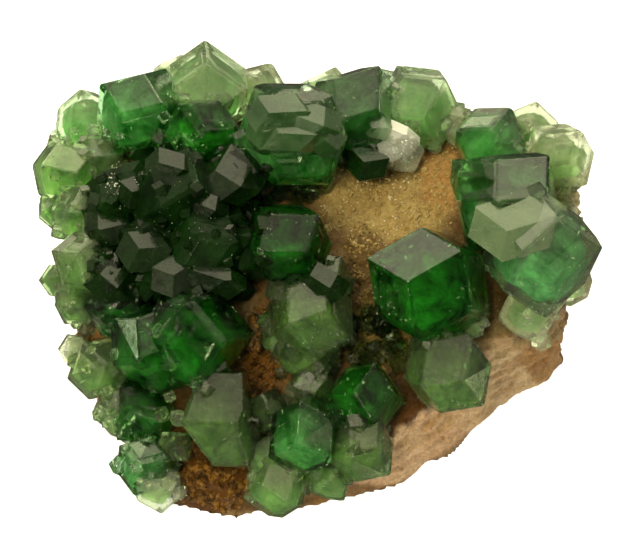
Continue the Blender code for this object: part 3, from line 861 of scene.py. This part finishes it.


# loose detail

# pale flakes inside the crystals, healed cracks that are also painted sparkles, and fine pale chips along
# their edges, frosty broken edges that are also painted highlights on the rims, in mm and shares of the
# crystal
flakes = {"perCrystal": 12, "size": (0.03, 0.16), "depth": (0.80, 0.97), "thin": 0.12,
          "edgeTries": 45, "edgeSize": (0.008, 0.018), "edgeLong": (1.5, 6), "edgeNear": 0.03,
          "light": (0.92, 1.0, 0.82), "dark": (0.30, 0.75, 0.30)}

# tiny pale flakes as painted glints, white specks where broken faces would sparkle, in mm: each patch is
# where as seen, its reach, how many, and its own size
paintedGlints = {"size": (0.02, 0.06), "thin": 0.3, "light": (0.95, 0.97, 0.85), "dark": (0.55, 0.65, 0.45),
          "patches": [
              ((-9.6, 4.2), (0.9, 1.2), 120, (0.03, 0.10)),
              ((-6.6, 6.0), (1.6, 0.9), 70),
              ((-6.3, 3.2), (3.0, 2.2), 40),
              ((-7.5, 0.2), (3.2, 1.6), 25),
              ((8.6, 6.6), (1.4, 1.0), 60),
              ((4.4, 5.8), (0.9, 0.8), 150),
              ((-0.2, -3.0), (2.0, 2.6), 90),
              ((-8.7, -9.0), (1.5, 1.6), 60),
              ((0.2, -9.2), (3.0, 2.4), 80),
              ((3.2, -0.6), (0.9, 2.2), 60),
              ((10.8, -1.9), (2.4, 0.8), 60),
          ]}


def newChip(finish, draw):
    # a coarse lump that its copies squash and turn
    bpy.ops.mesh.primitive_ico_sphere_add(subdivisions=1, radius=1, location=(0, 0, 0))
    model = bpy.context.object
    model.data.materials.append(finish)
    for vert in model.data.vertices:
        vert.co *= draw.uniform(0.6, 1.3)
    return model


def scatter(model, places, name, slot):
    made = [copyTo(model, place) for place in places]
    bpy.data.objects.remove(model)
    settle(joinPieces(made, name), slot)


def inPatch(at, reach, draw):
    angle, out = draw.uniform(0, 2 * math.pi), math.sqrt(draw.random())
    return at[0] + reach[0] * out * math.cos(angle), at[1] + reach[1] * out * math.sin(angle)


def onRock(ground, across, up):
    eye, ahead = viewAxes() @ Vector((across, up, high)), viewAxes() @ Vector((0, 0, -1))
    place, normal, index, away = ground.ray_cast(eye * mm, ahead)
    return (place / mm, normal) if place else (None, None)


def scatterPaintedGlints(ground, plans, group):
    draw = random.Random(47)
    # painted glints: pale, rough flakes in place of faces that mirror a lamp
    model = newChip(grainMaterial("Glint", paintedGlints["light"], paintedGlints["dark"], group), draw)
    places = []
    for at, reach, count, *own in paintedGlints["patches"]:
        for attempt in range(count):
            spot = inPatch(at, reach, draw)
            size = draw.uniform(*own[0] if own else paintedGlints["size"])
            hit = firstCrystal(plans, *spot)
            place = hit[1] if hit else onRock(ground, *spot)[0]
            turn = anyTurn(draw).to_4x4()
            shape = Matrix.Diagonal((size, size * draw.uniform(0.5, 1), size * paintedGlints["thin"], 1))
            if place:
                places.append(Matrix.Translation(place) @ turn @ shape)
    scatter(model, places, "crystalGlints", "pale_garnet")


def nearestFaces(plan, out):
    # how far the crystal reaches that way, the face there, and the same for the next face
    reached = [(stands / out.dot(towards), index) for index, (towards, stands) in enumerate(plan["planes"])
               if out.dot(towards) > 0.05]
    return sorted(reached)[:2]


def outwards(draw, lowest):
    way = Vector([draw.uniform(-1, 1), draw.uniform(-1, 1), draw.uniform(lowest, 1)])
    return (viewAxes() @ way).normalized()


def scatterFlakes(plans, group):
    draw = random.Random(31)
    finish = grainMaterial("Flake", flakes["light"], flakes["dark"], group)
    inner, chips = newChip(finish, draw), newChip(finish, draw)
    innerPlaces, chipPlaces = [], []
    least, most = flakes["size"]
    for plan in plans:
        # pale flakes inside: healed cracks, painted bright as sparkles
        for number in range(int(flakes["perCrystal"] * plan["size"] ** 2) if plan["tone"] != "dark" else 0):
            out = outwards(draw, 0.1)
            reach = nearestFaces(plan, out)[0][0]
            size = least + (most - least) * draw.random() ** 2
            place = plan["centre"] + out * reach * draw.uniform(*flakes["depth"])
            shape = Matrix.Diagonal((size, size * draw.uniform(0.4, 1), size * flakes["thin"], 1))
            innerPlaces.append(Matrix.Translation(place) @ anyTurn(draw).to_4x4() @ shape)
        # pale chips along the edges: broken edges, also painted highlights on the rims
        for number in range(int(flakes["edgeTries"] * plan["size"] ** 2)):
            out = outwards(draw, -0.3)
            size, long = draw.uniform(*flakes["edgeSize"]), draw.uniform(*flakes["edgeLong"])
            (reach, face), (beyond, other) = nearestFaces(plan, out)
            along = plan["planes"][face][0].cross(plan["planes"][other][0])
            if beyond - reach > flakes["edgeNear"] * plan["size"] or along.length < 0.3:
                continue
            turn = along.to_track_quat("X", "Z").to_matrix().to_4x4()
            shape = Matrix.Diagonal((size * long, size, size, 1))
            chipPlaces.append(Matrix.Translation(plan["centre"] + out * reach) @ turn @ shape)
    scatter(inner, innerPlaces, "crystalFlakes", "pale_garnet")
    scatter(chips, chipPlaces, "edgeChips", "pale_garnet")


# small crystals and grains

# how far a seedling or a grain may start inside a crystal, in mm, and how far its middle stands over
# the rock, in shares of its size
standing = {"seedling": (0.25, 0.4), "grain": (0.1, -0.25)}
rockFoot = 0.4  # nothing grows on the rock lower than this, in mm
tries = 4  # how many places are tried for each seedling or grain, at most
# each patch: where it is as seen, how far it reaches, how many, their size in mm, and their tone or finish
seedlings = {
    "crustMiddle": ((-6.4, 1.9), (4.6, 4.2), 150, (0.22, 0.62), "dark"),
    "crustTopLeft": ((-7.2, 6.0), (2.6, 1.5), 40, (0.2, 0.5), "mid"),
    "crustLeftEdge": ((-11.6, 1.6), (1.7, 5.0), 70, (0.22, 0.5), "pale"),
    "crustLowerLeft": ((-9.2, -8.0), (2.2, 3.0), 60, (0.2, 0.45), "pale"),
    "crustCentre": ((-0.6, -3.0), (1.9, 3.0), 70, (0.15, 0.4), "cloudy"),
    "crustCrevice": ((3.1, -3.2), (1.7, 1.9), 40, (0.15, 0.5), "deep"),
    "crustRidge": ((-2.0, 4.1), (2.6, 0.8), 60, (0.15, 0.45), "deep"),
    "crustFront": ((0.3, -8.2), (3.2, 2.8), 80, (0.18, 0.45), "pale"),
    "crustRight": ((11.0, 4.0), (3.0, 4.0), 90, (0.18, 0.45), "straw"),
    "crustTop": ((2.2, 7.0), (4.5, 1.8), 60, (0.18, 0.45), "mid"),
}
# grains that can't be told apart one by one
grains = {
    "windowGrains": ((3.6, 3.3), (3.6, 2.4), 450, (0.06, 0.16), "tan"),
    "sugarGrains": ((3.0, 3.3), (3.0, 2.0), 260, (0.03, 0.08), "sugar"),
    "footGrains": ((2.3, 0.2), (1.0, 2.2), 260, (0.05, 0.14), "brown"),
    "creviceGrains": ((3.0, -3.4), (1.7, 1.9), 420, (0.06, 0.24), "brown"),
    "spotGrains": ((-2.8, -4.3), (1.2, 2.4), 420, (0.05, 0.24), "rust"),
    "ledgeGrains": ((6.3, 5.6), (1.4, 2.6), 200, (0.05, 0.14), "tan"),
    "rightGrains": ((12.9, 1.8), (1.5, 2.6), 260, (0.07, 0.2), "pale"),
    "leftGrains": ((-11.0, -2.8), (1.6, 1.2), 160, (0.06, 0.20), "brown"),
    "frontGrains": ((-5.4, -10.0), (2.2, 2.6), 520, (0.06, 0.26), "rust"),
}
grainFinish = {
    "tan": ((0.58, 0.42, 0.17), (0.40, 0.27, 0.09)),
    "sugar": ((0.90, 0.80, 0.55), (0.60, 0.45, 0.22)),
    "brown": ((0.42, 0.27, 0.09), (0.08, 0.055, 0.014)),
    "pale": ((0.70, 0.64, 0.44), (0.44, 0.36, 0.20)),
    "rust": ((0.30, 0.14, 0.025), (0.06, 0.026, 0.004)),
}


def spotsOn(ground, at, reach, count, draw):
    # places on the rock in an oval patch as seen, with the rock's normal there, clear of its foot
    spots = (onRock(ground, *inPatch(at, reach, draw)) for attempt in range(tries * count))
    return list(islice(((place, normal) for place, normal in spots if place and place.z > rockFoot), count))


def plantSeedlings(ground, plans, materials):
    buried, raised = standing["seedling"]
    for name, (at, reach, count, sizes, tone) in seedlings.items():
        draw = random.Random(name)
        grown = []
        for place, normal in spotsOn(ground, at, reach, count, draw):
            if depthInside(plans, place) > buried:
                continue
            size, turn = draw.uniform(*sizes), anyTurn(draw)
            planes = [(turn @ d, size * draw.uniform(0.92, 1.08)) for d, _ in garnetPlanes(1.0, draw)[:12]]
            grown.append(cutCrystal({"centre": place + normal * size * raised, "size": size,
                                     "planes": planes}))
            grown[-1].data.materials.append(materials[tone])
        settle(joinPieces(grown, name), "green_garnet")


def scatterGrains(ground, plans, group):
    buried, raised = standing["grain"]
    materials = {name: grainMaterial(name, *colours, group) for name, colours in grainFinish.items()}
    for name, (at, reach, count, sizes, finish) in grains.items():
        draw = random.Random(name)
        model = newChip(materials[finish], draw)
        places = []
        for place, normal in spotsOn(ground, at, reach, count, draw):
            if depthInside(plans, place) > buried:
                continue
            size = draw.uniform(*sizes)
            shape = Matrix.Diagonal((size, size * draw.uniform(0.6, 1), size * draw.uniform(0.5, 1), 1))
            foot = Matrix.Translation(place + normal * size * raised)
            places.append(foot @ anyTurn(draw).to_4x4() @ shape)
        scatter(model, places, name, "matrix_stone")


# the studio

# the eye is in front and above, far enough for a flat view, in metres
camera = {"distance": 0.8, "width": 0.0315, "film": 36}
# a warm sky that is dim in front, a wide soft box low behind, a broad lamp that isn't mirrored, a small one
studio = {"warm": (1.0, 0.93, 0.64),
          "sky": 0.62, "front": 0.05, "skyLean": (0.25, 1, 0.8), "skyEdge": (0.12, 0.8),
          "softBox": 1.3, "boxAt": (0.03, 0.87, 0.49), "boxEdge": (0.70, 0.86),
          "floorGlow": 1.0, "floorMirrored": 0.1, "floorWarm": (1.0, 0.99, 0.94),
          "lamps": [{"power": 6.8, "size": 0.6, "at": (-0.45, -0.45, 0.77), "mirrored": False},
                    {"power": 0.5, "size": 0.06, "at": (-0.3, -0.2, 0.93), "mirrored": True}]}


def buildCamera():
    data = bpy.data.cameras.new("camera")
    eye = bpy.data.objects.new("camera", data)
    bpy.context.scene.collection.objects.link(eye)
    back = viewAxes() @ Vector((0, 0, 1))
    eye.location = back * camera["distance"]
    eye.rotation_euler = back.to_track_quat("Z", "Y").to_euler()
    data.sensor_width = camera["film"]
    data.lens = camera["film"] * camera["distance"] / camera["width"]
    data.clip_start = 0.01
    data.clip_end = 10
    bpy.context.scene.camera = eye


def buildStage():
    bpy.ops.mesh.primitive_plane_add(size=1.5, location=(0, 0, -0.02 * mm))
    floor = bpy.context.object
    floor.name = "floor"
    made, tree, shader = newMaterial("paleFloor")
    feed(tree, shader, [("Base Color", (0.85, 0.85, 0.85, 1)), ("Roughness", 0.9),
                        ("Specular IOR Level", 0.0), ("Emission Color", (*studio["floorWarm"], 1)),
                        ("Emission Strength", studio["floorGlow"])])
    # the floor is painted darker for rays that a crystal's face mirrors, a painted dark reflection, as if the
    # specimen stood on a small stand
    mirroredShade = (studio["floorMirrored"],) * 3 + (1,)
    dark = addNode(tree, "ShaderNodeBsdfDiffuse", [("Color", mirroredShade)]).outputs[0]
    path = addNode(tree, "ShaderNodeLightPath").outputs
    mirrored = addNode(tree, "ShaderNodeMath", [(0, path["Is Glossy Ray"]), (1, path["Is Transmission Ray"])],
                       operation="SUBTRACT", use_clamp=True).outputs[0]
    seen = addNode(tree, "ShaderNodeMixShader", [(0, mirrored), (1, shader.outputs[0]), (2, dark)]).outputs[0]
    tree.links.new(seen, tree.nodes["Material Output"].inputs["Surface"])
    floor.data.materials.append(made)


def glowTowards(tree, place, edge, low, high):
    # brighter towards a place in the sky
    inputs = [(0, addNode(tree, "ShaderNodeTexCoord").outputs["Generated"]), (1, place)]
    near = addNode(tree, "ShaderNodeVectorMath", inputs, operation="DOT_PRODUCT").outputs["Value"]
    return ranged(tree, near, low, high, *edge, "SMOOTHSTEP")


def buildLight():
    world = bpy.data.worlds.new("studio")
    world.use_nodes = True
    tree = world.node_tree
    sky = glowTowards(tree, studio["skyLean"], studio["skyEdge"], studio["front"], studio["sky"])
    box = glowTowards(tree, studio["boxAt"], studio["boxEdge"], 0, studio["softBox"])
    feed(tree, tree.nodes["Background"], [("Color", (*studio["warm"], 1)),
                                          ("Strength", calculate(tree, "ADD", sky, box))])
    bpy.context.scene.world = world
    for number, lit in enumerate(studio["lamps"]):
        towards = Vector(lit["at"])
        turn = towards.to_track_quat("Z", "Y").to_euler()
        bpy.ops.object.light_add(type="AREA", location=towards, rotation=turn)
        lamp = bpy.context.object
        lamp.name = "lamp%d" % number
        lamp.data.shape = "DISK"
        lamp.data.size = lit["size"]
        lamp.data.energy = lit["power"]
        lamp.data.color = studio["warm"]
        lamp.visible_glossy = lit["mirrored"]
    bpy.context.scene.view_settings.view_transform = "Standard"
    cycles = bpy.context.scene.cycles
    cycles.max_bounces = 32
    cycles.transmission_bounces = 28
    cycles.glossy_bounces = 12


deselect()
buildCamera()
skin, veils, grainy = crystalSkin(), crystalVeils(), grainSkin()
glass = {name: glassMaterial(name, tone, skin) for name, tone in tones.items()}
cloudy = {name: heartMaterial(name, tone, veils) for name, tone in tones.items() if "heart" in tone}
crystalPlans = planCrystals()
buildCrystals(crystalPlans, glass, cloudy)
scatterFlakes(crystalPlans, grainy)
rockPiece = buildRock(crystalPlans)
surface = rockPiece.data
ground = BVHTree.FromPolygons([v.co for v in surface.vertices], [p.vertices for p in surface.polygons])
plantSeedlings(ground, crystalPlans, glass)
scatterGrains(ground, crystalPlans, grainy)
scatterPaintedGlints(ground, crystalPlans, grainy)
buildStage()
buildLight()
